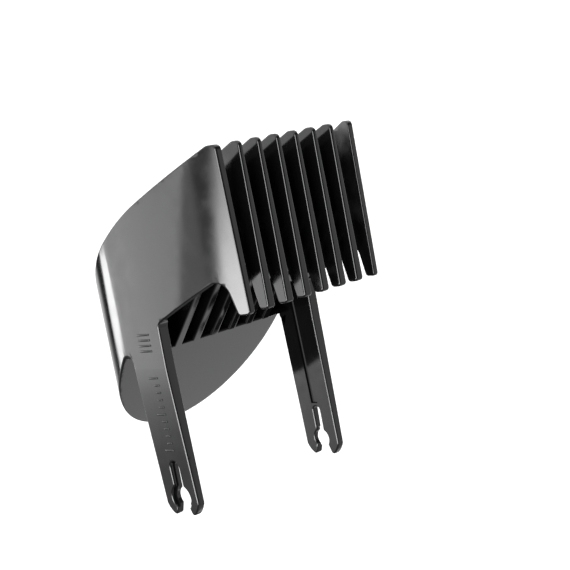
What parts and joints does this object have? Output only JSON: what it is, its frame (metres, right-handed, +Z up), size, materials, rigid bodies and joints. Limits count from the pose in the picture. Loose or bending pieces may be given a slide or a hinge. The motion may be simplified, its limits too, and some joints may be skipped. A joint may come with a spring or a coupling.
{
  "type": "hair clipper guide comb",
  "caption": "Long slip-on guide comb for a hair clipper: vertical tines in a curved shell, closed by a sloping plate, held by two flexing side arms with forks.",
  "frame": {"origin": "midway between the two clip sockets, on their common axis", "axes": "+X across the comb, +Y from the tines' front edges to the rounded back, +Z up to the tips of the comb's skin side"},
  "size_m": [0.0534, 0.0617, 0.0837],
  "materials": {
    "comb_plastic": "glossy moulded black ABS with a faint moulding ripple"
  },
  "bodies": {
    "comb": {"left_cheek": "comb_plastic", "right_cheek": "comb_plastic", "back_shell": "comb_plastic", "underside_plate": "comb_plastic", "left_arm_root": "comb_plastic", "right_arm_root": "comb_plastic", "grip_ribs": "comb_plastic", "tine_1": "comb_plastic", "tine_2": "comb_plastic", "tine_3": "comb_plastic", "tine_4": "comb_plastic", "tine_5": "comb_plastic", "tine_6": "comb_plastic"},
    "left_arm": {"left_arm": "comb_plastic", "length_scale": "comb_plastic"},
    "right_arm": {"right_arm": "comb_plastic"},
    "left_clip_front": {"left_clip_front": "comb_plastic"},
    "left_clip_rear": {"left_clip_rear": "comb_plastic"},
    "right_clip_front": {"right_clip_front": "comb_plastic"},
    "right_clip_rear": {"right_clip_rear": "comb_plastic"}
  },
  "joints": [
    {"name": "left_arm_flex", "type": "hinge", "parent": "comb", "child": "left_arm", "pos_m": [-0.02508, 0.0007, 0.03135], "axis": [0, 1, 0], "range_deg": [0, 4], "stiffness_Nm_per_rad": 5},
    {"name": "right_arm_flex", "type": "hinge", "parent": "comb", "child": "right_arm", "pos_m": [0.02508, 0.0007, 0.03135], "axis": [0, -1, 0], "range_deg": [0, 4], "stiffness_Nm_per_rad": 5},
    {"name": "left_clip_rear_flex", "type": "hinge", "parent": "left_arm", "child": "left_clip_rear", "pos_m": [-0.0246, 0.0035, 0.00735], "axis": [1, 0, 0], "range_deg": [0, 4], "stiffness_Nm_per_rad": 3},
    {"name": "left_clip_front_flex", "type": "hinge", "parent": "left_arm", "child": "left_clip_front", "pos_m": [-0.0246, -0.0034, 0.00735], "axis": [1, 0, 0], "range_deg": [-4, 0], "stiffness_Nm_per_rad": 3},
    {"name": "right_clip_rear_flex", "type": "hinge", "parent": "right_arm", "child": "right_clip_rear", "pos_m": [0.0246, 0.0035, 0.00735], "axis": [1, 0, 0], "range_deg": [0, 4], "stiffness_Nm_per_rad": 3},
    {"name": "right_clip_front_flex", "type": "hinge", "parent": "right_arm", "child": "right_clip_front", "pos_m": [0.0246, -0.0034, 0.00735], "axis": [1, 0, 0], "range_deg": [-4, 0], "stiffness_Nm_per_rad": 3}
  ]
}
